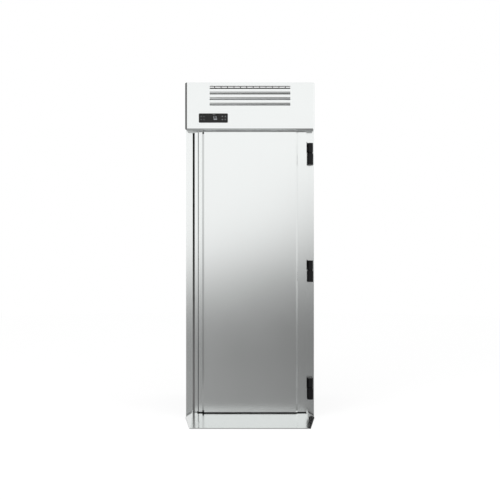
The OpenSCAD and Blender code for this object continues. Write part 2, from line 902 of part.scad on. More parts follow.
module louvre_slots() {
  for (i = [0 : slot_n - 1]) {
    z = slot_z(i);
    box(-slot_half_w, slot_half_w, fascia_y - 1, fascia_y + skin_t + 1, z, z + slot_h);
  }
}
// Vanes bent inwards and down from the top edges of the slots, all but the first
vane_fold_r = 13;
module vanes() {
  turn = 90 - vane_angle;
  y0 = fascia_y + vane_fold_r;
  fold = arc(y0, 0, vane_fold_r, 180, 180 + turn, 4);
  inner = arc(y0, 0, vane_fold_r - skin_t, 180, 180 + turn, 4);
  down = (vane_d - vane_fold_r * sin(turn)) * [cos(vane_angle), -sin(vane_angle)];
  for (i = [1 : slot_n - 1])
    run_x(-slot_half_w, slot_half_w) translate([0, slot_z(i) + slot_h]) polygon(concat(
      [[fascia_y, 1]], fold, [fold[4] + down, inner[4] + down],
      [for (k = [4 : -1 : 0]) inner[k]], [[fascia_y + skin_t, 1]]
    ));
}
ear_x = side_x - 31;
ear_t = 4.5;
arm_x = ear_x + 1.5;
arm_t = 4;
module fascia_ear() {
  r = 8;
  difference() {
    union() {
      box(ear_x - ear_t, ear_x, tilt_y - r, tilt_y + r, tilt_z, overall_h - skin_t / 2);
      rod_x(tilt_y, tilt_z, r, ear_x - ear_t, ear_x);
    }
    rod_x(tilt_y, tilt_z, tilt_pin_d / 2 + pin_clear, ear_x - ear_t - 1, ear_x + 1);
  }
}
module fascia_shell() {
  color(steel) {
    difference() {
      fascia_form(0, 0);
      fascia_form(skin_t, 1);
      box(-fascia_x + 20, fascia_x - 20, fascia_y + fascia_return, fascia_back_y + 1, 0, fascia_rim_z() + 5);
      louvre_slots();
      control_window(-4, fascia_y - 1, fascia_y + skin_t + 1);
      both_sides()
        box(ear_x, arm_x + arm_t + 1.5, tilt_y, fascia_back_y + 1, tilt_z, overall_h + 1);
    }
    vanes();
    both_sides() fascia_ear();
  }
}
module controller_bezel() {
  color(black) difference() {
    union() {
      control_window(0, fascia_y - 2, fascia_y);
      control_window(-4, fascia_y, fascia_y + 14);
    }
    control_window(-5.5, fascia_y - 3, fascia_y + 15);
  }
}
module controller_panel() {
  color([0.20, 0.20, 0.21]) {
    control_window(-5.5, fascia_y - 1.4, fascia_y + 1.6);
    box(
      control_x - control_w / 2 + 14, control_x + control_w / 2 - 14, fascia_y + 1.6,
      fascia_y + 13, control_z - control_h / 2 + 10, control_z + control_h / 2 - 10
    );
  }
}
module fascia_hinge_arms() {
  r = 8;
  color(dull_steel) both_sides() {
    run_x(arm_x, arm_x + arm_t) union() {
      translate([tilt_y, tilt_z]) circle(r = r);
      polygon([
        [tilt_y, tilt_z - r],
        [front_y + 15, shroud_z - 48],
        [front_y + 45, shroud_z - 48],
        [front_y + 45, shroud_z - 8],
        [front_y + 15, shroud_z - 8],
        [tilt_y + 8, tilt_z]
      ]);
    }
    box(arm_x + arm_t, core_x, front_y + 15, front_y + 45, shroud_z - 48, shroud_z - 8);
    rod_x(tilt_y, tilt_z, tilt_pin_d / 2, ear_x - ear_t - 1.5, arm_x);
  }
}

// Covers of the machine compartment
module side_shrouds() {
  color(steel) both_sides() run_y(front_y, back_y - skin_t) polygon([
    [-side_x, deck_z],
    [-side_x + shroud_flange, deck_z],
    [-side_x + shroud_flange, deck_z + skin_t],
    [-core_x, deck_z + skin_t],
    [-core_x, shroud_z - skin_t],
    [-side_x + shroud_flange, shroud_z - skin_t],
    [-side_x + shroud_flange, shroud_z],
    [-side_x, shroud_z]
  ]);
}
module top_cover() {
  n = floor((body_w - 2 * shroud_flange) / vent_pitch / 2);
  w = vent_pitch - vent_bar;
  color(steel) difference() {
    box(-side_x, side_x, front_y, back_y, shroud_z, cover_z);
    for (i = [-n : n])
      box(
        i * vent_pitch - w / 2, i * vent_pitch + w / 2, front_y + 6,
        front_y + 6 + vent_len, shroud_z - 1, cover_z + 1
      );
  }
}
// The guard's vents are cut in four rows of ten, clear of the gland at the right
module rear_guard() {
  cell = 6 * step_x;
  land = 8;
  vent_h = 12;
  color(dull_steel) difference() {
    box(-side_x, side_x, back_y - skin_t, back_y, deck_z, shroud_z);
    for (row = [0 : 3])
      for (i = [-5 : 4])
        translate([i * cell, 0, deck_z + 60 + row * 55])
          box(land, cell - land, back_y - skin_t - 1, back_y + 1, 0, vent_h);
    rod_y(gland_x, gland_z, 10, back_y - skin_t - 1, back_y + 1);
  }
}

// Condensing unit
foot_h = 16;
foot_x = compressor_r + 3;
foot_y = 60;
plate_edge = 12;
module at_feet() {
  for (sx = [-1, 1])
    for (sy = [-1, 1])
      translate([compressor_pos.x + sx * foot_x, compressor_pos.y + sy * foot_y, deck_z])
        children();
}
module foot_plate(t) {
  half_w = foot_x + 15;
  half_d = foot_y + plate_edge;
  linear_extrude(t) {
    square([half_w, 2 * half_d], center = true);
    for (sy = [-1, 1]) translate([0, sy * foot_y]) square([2 * half_w, 2 * plate_edge], center = true);
  }
}
module compressor() {
  r = compressor_r;
  h = compressor_h;
  z0 = deck_z + foot_h;
  color(black) {
    translate([compressor_pos.x, compressor_pos.y, z0 + 3]) rotate_extrude($fn = 96)
      polygon(concat(
        [[0, 0], [r * 0.86, 0]],
        arc(r * 0.86, r * 0.14, r * 0.14, 270, 360, 5),
        [[r, h * 0.48], [r + 4, h * 0.48], [r + 4, h * 0.52], [r, h * 0.52]],
        [for (i = [0 : 9]) [r * cos(i * 10), h * 0.62 + h * 0.38 * sin(i * 10)]],
        [[0, h]]
      ));
    difference() {
      translate([compressor_pos.x, compressor_pos.y, z0]) foot_plate(3);
      at_feet() cylinder(r = 6, h = 60);
    }
  }
}
module compressor_feet() {
  color([0.15, 0.15, 0.15]) at_feet() {
    rotate_extrude() polygon([
      [0, 0], [13, 0], [13, 5], [10, foot_h / 2], [13, foot_h - 3], [13, foot_h], [0, foot_h]
    ]);
    cylinder(r = 5.6, h = foot_h + 7);
  }
}
module compressor_terminal_cover() {
  x0 = compressor_pos.x + compressor_r - 1;
  z = deck_z + foot_h + 55;
  color([0.16, 0.16, 0.17]) difference() {
    box(x0 - 25, x0 + 28, compressor_pos.y - 32, compressor_pos.y + 32, z, z + 34);
    rod_z(compressor_pos.x, compressor_pos.y, compressor_r, z - 1, z + 35);
  }
}
// A fin pack in plan: a core with fins standing out at the front and the back
module fin_plan(half, depth, fins, fin_len) {
  pitch = 2 * half / fins;
  t = 1;
  near = [
    for (i = [0 : fins - 1])
      let (x = -half + (i + 0.5) * pitch)
      each [[x - t, fin_len], [x - t, 0], [x + t, 0], [x + t, fin_len]]
  ];
  far = [for (i = [len(near) - 1 : -1 : 0]) [near[i].x, depth - near[i].y]];
  polygon(concat(near, far));
}
// The tube ends beside a fin pack: rows of return bends
module return_bends(x, y, gap, r, z0, rows, pitch) {
  both_sides() for (row = [0 : rows - 1]) translate([x, y, z0 + row * pitch])
    rotate([0, 0, -90]) rotate_extrude(angle = 180) translate([gap / 2, 0]) circle(r = r);
}
module condenser_coil() {
  pack_h = 208;
  plate_t = 2;
  color([0.7, 0.72, 0.74]) {
    translate([0, coil_y + 4, 0]) run_z(deck_z + 14, deck_z + 14 + pack_h)
      fin_plan(coil_half_w - plate_t, coil_d - 8, 54, 12);
    both_sides() box(
      coil_half_w - plate_t - 5, coil_half_w, coil_y, coil_y + coil_d, deck_z,
      deck_z + 14 + pack_h
    );
  }
  color(copper)
    return_bends(coil_half_w, coil_y + coil_d / 2, 28, 5, deck_z + 32, 6, 34);
}
module condenser_fan_shroud() {
  y0 = coil_y + coil_d;
  color(dull_steel) difference() {
    union() {
      box(-coil_half_w, coil_half_w, y0, y0 + 8, deck_z, deck_z + coil_h);
      rod_y(0, fan_z, fan_r + 10, y0, y0 + 34);
    }
    rod_y(0, fan_z, fan_r + 8, y0 - 1, y0 + 35);
  }
}
shaft_r = 4;
module condenser_fan_motor() {
  y0 = fan_y + 26;
  color(black) difference() {
    union() {
      rod_y(0, fan_z, 36, y0, y0 + 62);
      for (a = [45 : 90 : 315])
        translate([0, y0 + 8, fan_z]) rotate([0, a, 0])
          box(30, fan_r + 14, 0, 5, -7, 7);
      for (a = [45 : 90 : 315])
        translate([0, y0 + 8, fan_z]) rotate([0, a, 0])
          box(fan_r + 10, fan_r + 16, 8 - (y0 + 8) + coil_y + coil_d, 5, -7, 7);
    }
    rod_y(0, fan_z, shaft_r + pin_clear, y0 - 1, y0 + 40);
  }
}
// A fan with a hub, its shaft and pitched blades, turning about Y
module fan_wheel(r, hub_r, depth, blades, pitch_angle) {
  rotate([90, 0, 0]) {
    cylinder(r = hub_r, h = depth, center = true);
    for (i = [0 : blades - 1])
      rotate([0, 0, i * 360 / blades]) intersection() {
        difference() {
          cylinder(r = r, h = depth * 1.6, center = true);
          cylinder(r = hub_r - 2, h = depth * 2, center = true);
        }
        translate([r / 2 + hub_r / 2, 0, 0]) rotate([pitch_angle, 0, 0])
          cube([r, r * 0.75, 1.6], center = true);
      }
  }
}
module condenser_fan() {
  color([0.75, 0.75, 0.76]) {
    translate([0, fan_y, fan_z]) fan_wheel(fan_r, 28, 24, 5, 24);
    rod_y(0, fan_z, shaft_r, fan_y, fan_y + 60);
  }
}
drier_x = 11 * step_x;
drier_y = -15 * step_y;
drier_half = 62;
drier_z = deck_z + 60;
module filter_drier() {
  n = drier_half;
  color(copper) translate([drier_x, drier_y, drier_z]) rotate([90, 0, 0]) rotate_extrude()
    polygon([
      [0, -n], [4.5, -n], [4.5, 10 - n], [17, 24 - n], [17, n - 24], [4.5, n - 10], [4.5, n], [0, n]
    ]);
}
// Liquid line through the drier, suction line from the evaporator, hot gas line to the condenser
module refrigerant_lines() {
  r = 4.5;
  x = coil_half_w + 30;
  coil_in_y = coil_y + 44;
  low = deck_z + 48;
  gas = deck_z + 83;
  suction = deck_z + 95;
  floor_z = deck_z + 20;
  front = drier_y - drier_half;
  back = drier_y + drier_half;
  comp_x = compressor_pos.x;
  comp_y = compressor_pos.y;
  color(copper) {
    pipe([
      [drier_x, front, drier_z], [drier_x, front - 26, drier_z], [drier_x, front - 26, floor_z],
      [x, front - 26, floor_z], [x, coil_in_y, floor_z], [x, coil_in_y, low],
      [coil_half_w, coil_in_y, low]
    ], r);
    pipe([
      [drier_x, back, drier_z], [drier_x, back + 28, drier_z], [drier_x, back + 28, floor_z],
      [drier_x, evap_y0, floor_z]
    ], r);
    pipe([
      [comp_x, comp_y + compressor_r, suction], [comp_x, comp_y + compressor_r + 22, suction],
      [comp_x + 60, comp_y + compressor_r + 22, suction], [comp_x + 60, evap_y0, suction]
    ], r + 2);
    pipe([
      [comp_x - compressor_r, comp_y, gas], [comp_x - compressor_r - 30, comp_y, gas],
      [comp_x - compressor_r - 30, coil_y + 110, gas], [-x, coil_y + 110, gas],
      [-x, coil_in_y, gas], [-coil_half_w, coil_in_y, gas]
    ], r);
  }
}

// Evaporator on the deck, over the fan holes and the supply slot
module evaporator_housing() {
  w = evap_half_w;
  t = evap_wall;
  z1 = deck_z + evap_h;
  color(steel) {
    box(-w, w, evap_y0, evap_y1, z1 - t, z1);
    box(-w, w, evap_y0, evap_y0 + t, deck_z, z1 - t);
    box(-w, w, evap_y1 - t, evap_y1, deck_z, z1 - t);
    both_sides() box(w - t, w, evap_y0 + t, evap_y1 - t, deck_z, z1 - t);
  }
}
module evaporator_coil() {
  half = evap_half_w - evap_wall - 32;
  y0 = evap_fan_y + evap_fan_r + 16;
  depth = 52;
  pack_h = 190;
  color([0.74, 0.76, 0.78]) {
    translate([0, y0, 0]) run_z(deck_z + 2, deck_z + 2 + pack_h) fin_plan(half, depth, 40, 10);
    both_sides() box(half - 8, half, y0 - 1, y0 + depth + 1, deck_z, deck_z + 2 + pack_h);
  }
  color(copper) return_bends(half, y0 + depth / 2, 26, 4.5, deck_z + 26, 5, 36);
}
evap_fan_z = deck_z - 8;
module evaporator_fan_motor() {
  translate([0, 0, evap_fan_z + 24]) difference() {
    union() {
      cylinder(r = 32, h = 52);
      for (a = [45 : 90 : 315]) rotate([0, 0, a]) {
        box(26, evap_fan_r + 20, -6, 6, 4, 9);
        box(evap_fan_r + 12, evap_fan_r + 20, -6, 6, deck_z - evap_fan_z - 24, 9);
      }
    }
    translate([0, 0, -1]) cylinder(r = shaft_r + pin_clear, h = 36);
  }
}
module evaporator_fan_motors() {
  color(black) for (s = [-1, 1]) translate([s * evap_fan_x, evap_fan_y, 0])
    evaporator_fan_motor();
}
module evaporator_fan(x) {
  color([0.78, 0.78, 0.79]) translate([x, evap_fan_y, 0]) {
    translate([0, 0, evap_fan_z]) rotate([90, 0, 0]) fan_wheel(evap_fan_r, 26, 22, 5, 24);
    translate([0, 0, evap_fan_z]) cylinder(r = shaft_r, h = 52);
  }
}
module evaporator_fan_left() {
  evaporator_fan(-evap_fan_x);
}
module evaporator_fan_right() {
  evaporator_fan(evap_fan_x);
}
// Ring guards under the fan holes
module fan_guards() {
  r = evap_fan_r + 16;
  t = 3;
  color(white_plastic) for (s = [-1, 1])
    translate([s * evap_fan_x, evap_fan_y, opening_top_z - t]) {
      for (ring = [r, r * 0.72, r * 0.44, r * 0.2]) difference() {
        cylinder(r = ring, h = t);
        translate([0, 0, -1]) cylinder(r = ring - 5, h = t + 2);
      }
      for (a = [0 : 60 : 120]) rotate([0, 0, a]) box(-r + 2, r - 2, -2.5, 2.5, 0, t);
    }
}

// Electrical box, with its lid towards the front
module electrical_box() {
  color(dull_steel) difference() {
    box(box_x0, box_x1, box_y0, box_y1, deck_z, deck_z + box_h);
    box(box_x0 + 2, box_x1 - 2, box_y0 - 1, box_y1 - 2, deck_z + 2, deck_z + box_h - 2);
  }
}
module electrical_box_lid() {
  color(dull_steel) {
    box(box_x0, box_x1, box_y0 - 2, box_y0, deck_z, deck_z + box_h);
    box(box_x0 + 2, box_x1 - 2, box_y0, box_y0 + 8, deck_z + box_h - 4, deck_z + box_h - 2);
  }
}
module cable_gland() {
  color(black) difference() {
    union() {
      rod_y(gland_x, gland_z, 10, back_y - 14, back_y);
      translate([gland_x, back_y + 5, gland_z]) rotate([90, 0, 0]) cylinder(r = 15, h = 5, $fn = 6);
      rod_y(gland_x, gland_z, 12, back_y + 5, back_y + 16);
      translate([gland_x, back_y - skin_t, gland_z]) rotate([90, 0, 0])
        cylinder(r = 15, h = 5, $fn = 6);
    }
    rod_y(gland_x, gland_z, 6, back_y - 15, back_y + 17);
  }
}
module condensate_tray() {
  color(dull_steel) difference() {
    box(tray_x0, tray_x1, tray_y0, tray_y1, deck_z, deck_z + tray_h);
    box(tray_x0 + 2, tray_x1 - 2, tray_y0 + 2, tray_y1 - 2, deck_z + 2, deck_z + tray_h + 1);
  }
}
module drain_tube() {
  x = tray_x1 - 20;
  y = tray_y1 - 2 * step_y;
  z = deck_z + 56;
  color(white_plastic) difference() {
    pipe([[x, evap_y0, z], [x, y, z], [x, y, z - 16]], 8);
    rod_y(x, z, 6, y + 10, evap_y0 + 1);
  }
}

floor_pan();
floor_core();
floor_plate();
floor_coves();
side_wall_cores();
back_wall_core();
ceiling_core();
left_outer_skin();
right_outer_skin();
back_outer_skin();
top_deck();
side_liners();
back_liner();
ceiling_liner();
breaker_strips();
bumper_rails();
air_duct_panel();
lamp_housing();
lamp_lens();
temperature_probe();
ramp();
hinge_frame_halves();
hinge_lower_cams();
side_shrouds();
top_cover();
rear_guard();
compressor();
compressor_feet();
compressor_terminal_cover();
condenser_coil();
condenser_fan_shroud();
condenser_fan_motor();
filter_drier();
refrigerant_lines();
evaporator_housing();
evaporator_coil();
evaporator_fan_motors();
fan_guards();
electrical_box();
electrical_box_lid();
cable_gland();
condensate_tray();
drain_tube();
fascia_hinge_arms();
hinge_pins();
door_skin();
door_core();
door_liner();
door_gasket();
door_end_caps();
door_grip_profile();
door_sweep();
hinge_door_halves();
hinge_upper_cams();
fascia_shell();
controller_bezel();
controller_panel();
condenser_fan();
evaporator_fan_left();
evaporator_fan_right();
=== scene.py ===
"""Roll-in refrigerator: finishes, small fittings, camera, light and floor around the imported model.

Everything is in metres: +X to the right, +Y to the back, +Z up, origin at floor level.
"""

import math

import bmesh
import bpy
from mathutils import Matrix, Vector


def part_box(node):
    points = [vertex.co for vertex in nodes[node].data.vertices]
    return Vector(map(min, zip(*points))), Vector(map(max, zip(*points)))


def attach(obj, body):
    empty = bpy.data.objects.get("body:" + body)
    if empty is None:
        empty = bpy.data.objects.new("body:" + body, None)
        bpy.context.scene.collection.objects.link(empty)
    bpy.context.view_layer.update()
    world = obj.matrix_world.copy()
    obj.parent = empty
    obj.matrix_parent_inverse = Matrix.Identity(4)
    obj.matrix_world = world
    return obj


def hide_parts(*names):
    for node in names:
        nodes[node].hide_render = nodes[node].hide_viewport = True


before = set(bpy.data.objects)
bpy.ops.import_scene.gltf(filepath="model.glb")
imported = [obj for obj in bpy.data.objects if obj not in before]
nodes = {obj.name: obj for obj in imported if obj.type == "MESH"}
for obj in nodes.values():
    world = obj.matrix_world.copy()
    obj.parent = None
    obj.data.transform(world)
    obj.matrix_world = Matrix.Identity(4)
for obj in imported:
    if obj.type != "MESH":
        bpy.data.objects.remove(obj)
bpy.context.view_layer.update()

MM = 0.001
GROUND = 0.26  # brightness of the dark ground that the metal mirrors
ROOM = 1.04  # brightness of the room that it mirrors above the horizon
FAR = 9.0  # radius of the floor and of the far ground
SHARP = math.radians(35)  # folds that turn more than this are edges


class Value:
    """A number, vector or colour on its way through a material's nodes."""

    def __init__(self, finish, socket):
        self.finish = finish
        self.socket = socket

    def maths(self, operation, *others):
        inputs = dict(enumerate((self,) + others))
        return self.finish.node("ShaderNodeMath", {"operation": operation}, inputs)

    def __add__(self, other):
        return self.maths("ADD", other)

    __radd__ = __add__

    def __mul__(self, other):
        return self.maths("MULTIPLY", other)

    __rmul__ = __mul__

    def __sub__(self, other):
        return self.maths("SUBTRACT", other)

    def __rsub__(self, other):
        return self.finish.node("ShaderNodeMath", {"operation": "SUBTRACT"}, {0: other, 1: self})

    def absolute(self):
        return self.maths("ABSOLUTE")

    def highest(self, other):
        return self.maths("MAXIMUM", other)

    def between(self, low, high, start=0.0, end=1.0):
        """Runs smoothly from start to end as the value goes from low to high."""
        return self.finish.node(
            "ShaderNodeMapRange",
            {"interpolation_type": "SMOOTHSTEP"},
            {"Value": self, "From Min": low, "From Max": high, "To Min": start, "To Max": end},
        )

    def part(self, name):
        """One output of the node that this value comes from."""
        return Value(self.finish, self.socket.node.outputs[name])

    def stretched(self, x, y, z):
        return self.finish.node(
            "ShaderNodeVectorMath", {"operation": "MULTIPLY"}, {0: self, 1: (x, y, z)}
        )


class Finish:
    """A material or world, built by calls that add nodes."""

    def __init__(self, owner):
        self.owner = owner
        owner.use_nodes = True
        self.tree = owner.node_tree
        self.tree.nodes.clear()

    def node(self, kind, settings=None, inputs=None):
        made = self.tree.nodes.new(kind)
        for name, setting in (settings or {}).items():
            setattr(made, name, setting)
        for name, value in (inputs or {}).items():
            socket = made.inputs[name]
            if isinstance(value, Value):
                self.tree.links.new(value.socket, socket)
            else:
                socket.default_value = value
        outputs = [s for s in made.outputs if s.enabled]
        return Value(self, outputs[0]) if outputs else None

    def place(self):
        """The point on the piece, in metres, which moves with the piece."""
        return self.node("ShaderNodeTexCoord").part("Object")

    def along(self, place):
        """The point's x, y and z, each as a value."""
        split = self.node("ShaderNodeSeparateXYZ", None, {0: place})
        return [split.part(axis) for axis in "XYZ"]

    def noise(self, vector, scale, detail=3.0):
        return self.node(
            "ShaderNodeTexNoise", None, {"Vector": vector, "Scale": scale, "Detail": detail}
        )

    def cells(self, vector, scale):
        return self.node(
            "ShaderNodeTexVoronoi", {"feature": "F1"}, {"Vector": vector, "Scale": scale}
        )

    def blend(self, factor, first, second):
        """Colours are mixed by factor, from first to second."""
        ends = [c + (1.0,) if isinstance(c, tuple) else c for c in (first, second)]
        made = self.tree.nodes.new("ShaderNodeMix")
        made.data_type = "RGBA"
        for index, value in ((0, factor), (6, ends[0]), (7, ends[1])):
            if isinstance(value, Value):
                self.tree.links.new(value.socket, made.inputs[index])
            else:
                made.inputs[index].default_value = value
        return Value(self, made.outputs[2])

    def bump(self, height, strength, distance):
        return self.node(
            "ShaderNodeBump", None, {"Height": height, "Strength": strength, "Distance": distance}
        )

    def glow(self, colour):
        return self.node("ShaderNodeEmission", None, {"Color": colour, "Strength": 1.0})

    def mixed(self, factor, first, second):
        """Shaders are mixed by factor, from first to second."""
        return self.node("ShaderNodeMixShader", None, {0: factor, 1: first, 2: second})

    def surface(self, **sockets):
        """The shader of a material; the keys are the shader's socket names with _ for a space."""
        named = {key.replace("_", " "): value for key, value in sockets.items()}
        shader = self.node("ShaderNodeBsdfPrincipled", None, named)
        self.node("ShaderNodeOutputMaterial", None, {"Surface": shader})
        return self.owner


def new_material(name):
    return Finish(bpy.data.materials.new(name))


def even(tone):
    return (tone, tone, tone)


def darker(colour, share):
    return tuple(share * c for c in colour)


def brushed_steel(name, grain, tint=(0.872, 0.893, 0.886), rough=0.17, painted_shade=None):
    """Sheet steel with fine grain drawn out along one axis, x, y or z, and faint handling clouds.

    Painted shade, where it is given, makes two values: how much painted corner shade lies there,
    also rougher and less metallic, and how much painted dark reflection.
    """
    finish = new_material(name)
    place = finish.place()

    def drawn_out(along, across):
        stretch = [along if axis == grain else across for axis in "xyz"]
        return finish.noise(place.stretched(*stretch), 1.0, 2.0)

    scratch = drawn_out(14.0, 1500.0)
    streak = drawn_out(1.2, 95.0)
    cloud = finish.noise(place, 2.6)
    lift = (scratch - 0.5) * 0.5 + (streak - 0.5) * 0.3 + (cloud - 0.5) * 0.6
    shade = finish.blend(lift.between(-0.35, 0.35), darker(tint, 0.965), tint)
    bare = 1.0
    roughness = rough + (scratch - 0.5) * 0.08 + (cloud - 0.5) * 0.05
    if painted_shade:
        # painted shade in the corners and a painted dark reflection on the slope, both put into the
        # colour
        corner_shade, slope_reflection_shade = painted_shade(finish, place)
        shade = finish.blend(corner_shade.highest(slope_reflection_shade), shade, even(0.01))
        bare = 1.0 - corner_shade
        roughness = roughness + corner_shade * 0.5
    return finish.surface(
        Base_Color=shade,
        Metallic=bare,
        Roughness=roughness,
        Normal=finish.bump(scratch, 0.04, 0.00003),
    )


def ramp_painted_shade(finish, place):
    """Painted shade in the two corners where the ramp meets the posts, and a painted dark reflection
    on its right slope.
    """
    x, y, _ = finish.along(place)
    patches = finish.noise(place, 60.0).between(0.2, 0.6, 0.88, 1.0)
    # painted shade where the ramp meets the posts, stronger on the right
    beside_posts = y.between(-0.53, -0.485) * x.absolute().between(0.378, 0.388)
    corner_shade = beside_posts * x.between(-0.1, 0.1, 0.80, 0.98)
    # painted reflection: the right slope darkened as if it mirrored something dark
    slope_reflection_shade = (x - 0.036 * y).between(0.386, 0.408) * 0.68
    return corner_shade * patches, slope_reflection_shade * patches


def galvanised(name):
    """Zinc-coated sheet with pale spangles."""
    finish = new_material(name)
    place = finish.place()
    spangle = finish.cells(place, 95.0).part("Color")
    cloud = finish.noise(place, 5.0)
    grey = finish.blend(spangle, (0.46, 0.47, 0.48), (0.60, 0.61, 0.62))
    return finish.surface(
        Base_Color=finish.blend(cloud.between(0.35, 0.7), grey, (0.52, 0.53, 0.53)),
        Metallic=0.85,
        Roughness=0.42 + (cloud - 0.5) * 0.2,
    )


def moulded(name, colour, rough, grain=900.0, lift=0.35, shine=0.5):
    """Moulded or coated surface with a fine leather-like texture and slight unevenness."""
    finish = new_material(name)
    place = finish.place()
    fine = finish.noise(place, grain, 2.0)
    cloud = finish.noise(place, 14.0)
    light = tuple(c * (1 + lift) for c in colour)
    return finish.surface(
        Base_Color=finish.blend(cloud.between(0.3, 0.75), colour, light),
        Specular_IOR_Level=shine,
        Roughness=rough + (fine - 0.5) * 0.12 + (cloud - 0.5) * 0.08,
        Normal=finish.bump(fine, 0.10, 0.0001),
    )


def plastic_greyer_low(name):
    """Black plastic, unevenly greyer towards the floor."""
    finish = new_material(name)
    place = finish.place()
    _, _, height = finish.along(place)
    cloud = finish.noise(place.stretched(1.0, 1.0, 0.25), 40.0)
    fine = finish.noise(place, 900.0, 2.0)
    # greyer towards the floor, from 1.45 m down
    low_greying = height.between(0.0, 1.45, 1.0, 0.0) * (0.85 + 0.3 * cloud)
    return finish.surface(
        Base_Color=finish.blend(low_greying, even(0.003), (0.165, 0.165, 0.163)),
        Specular_IOR_Level=0.12,
        Roughness=0.5 + (fine - 0.5) * 0.12,
        Normal=finish.bump(fine, 0.10, 0.0001),
    )


def foam(name):
    """Cut polyurethane foam: cream, with small cells."""
    finish = new_material(name)
    place = finish.place()
    cells = finish.cells(place, 700.0)
    cloud = finish.noise(place, 9.0)
    return finish.surface(
        Base_Color=finish.blend(cloud, (0.80, 0.72, 0.48), (0.90, 0.84, 0.62)),
        Roughness=0.88 + (cloud - 0.5) * 0.1,
        Normal=finish.bump(cells, 0.25, 0.0004),
    )


def drawn_metal(name, colour, rough, cloud_scale=30.0):
    """Copper pipe, ground pins or fin stock, slightly uneven in tone."""
    finish = new_material(name)
    place = finish.place()
    cloud = finish.noise(place, cloud_scale, 4.0)
    return finish.surface(
        Base_Color=finish.blend(cloud.between(0.3, 0.7), darker(colour, 0.78), colour),
        Metallic=1.0,
        Roughness=rough + (cloud - 0.5) * 0.15,
    )


def frosted(name, colour, alpha):
    """The lamp's ribbed, faintly lit lens."""
    finish = new_material(name)
    ribs = finish.noise(finish.place().stretched(420.0, 1.0, 1.0), 1.0, 1.0)
    return finish.surface(
        Base_Color=finish.blend(ribs, colour, (0.97, 0.98, 1.0)),
        Roughness=0.35 + (ribs - 0.5) * 0.2,
        Alpha=alpha,
        Emission_Color=(0.9, 0.95, 1.0, 1.0),
        Emission_Strength=0.25,
        Normal=finish.bump(ribs, 0.3, 0.0003),
    )


def glass_panel(name):
    """Smoked glass over a touch panel, with the faintest smears."""
    finish = new_material(name)
    smear = finish.noise(finish.place().stretched(9.0, 1.0, 16.0), 1.0, 3.0)
    return finish.surface(
        Base_Color=finish.blend(smear, even(0.010), even(0.017)),
        Specular_IOR_Level=0.17,
        Roughness=0.12 + smear.between(0.4, 0.8) * 0.14,
    )


def glowing(name, colour, strength):
    """A lit mark under the glass."""
    finish = new_material(name)
    spot = finish.noise(finish.place(), 900.0, 1.0)
    return finish.surface(
        Base_Color=finish.blend(spot, darker(colour, 0.4), darker(colour, 0.6)),
        Roughness=0.5,
        Emission_Color=colour + (1.0,),
        Emission_Strength=strength,
    )


steel_upright = brushed_steel("steel_upright_grain", "z")
steel_level = brushed_steel("steel_level_grain", "x")
steel_deep = brushed_steel("steel_grain_to_the_back", "y")
tread_steel = brushed_steel("tread_steel", "x", (0.845, 0.866, 0.858), 0.168, ramp_painted_shade)
liner_steel = brushed_steel("liner_steel", "z", (0.785, 0.80, 0.795), 0.28)
zinc = galvanised("zinc_sheet")
cream_foam = foam("cream_foam")
white_plastic = moulded("white_plastic", (0.72, 0.72, 0.70), 0.40, lift=0.12)
grey_plastic = moulded("grey_plastic", (0.45, 0.45, 0.455), 0.45, shine=0.3)
black_plastic = moulded("black_plastic", (0.012, 0.012, 0.012), 0.45, shine=0.3)
grip_plastic = plastic_greyer_low("grip_plastic")
hinge_black = moulded("hinge_black", (0.007, 0.007, 0.0075), 0.34, grain=600.0, shine=0.12)
cam_black = moulded("cam_black", even(0.003), 0.5, shine=0.08)
black_enamel = moulded("black_enamel", (0.012, 0.012, 0.013), 0.25, grain=120.0)
black_rubber = moulded("black_rubber", (0.014, 0.014, 0.014), 0.68, grain=1300.0)
grey_rubber = moulded("grey_rubber", (0.12, 0.12, 0.125), 0.62, grain=1300.0)
ground_steel = drawn_metal("ground_steel", (0.62, 0.62, 0.63), 0.22)
fin_stock = drawn_metal("fin_stock", (0.72, 0.73, 0.75), 0.34, 60.0)
copper = drawn_metal("copper", (0.80, 0.43, 0.27), 0.30)
lamp_plastic = frosted("lamp_lens_plastic", (0.88, 0.92, 0.96), 0.75)
smoked_glass = glass_panel("smoked_glass")
dim_mark = glowing("dim_mark", (0.50, 0.52, 0.55), 0.15)
bright_mark = glowing("bright_mark", (0.50, 0.52, 0.55), 0.42)

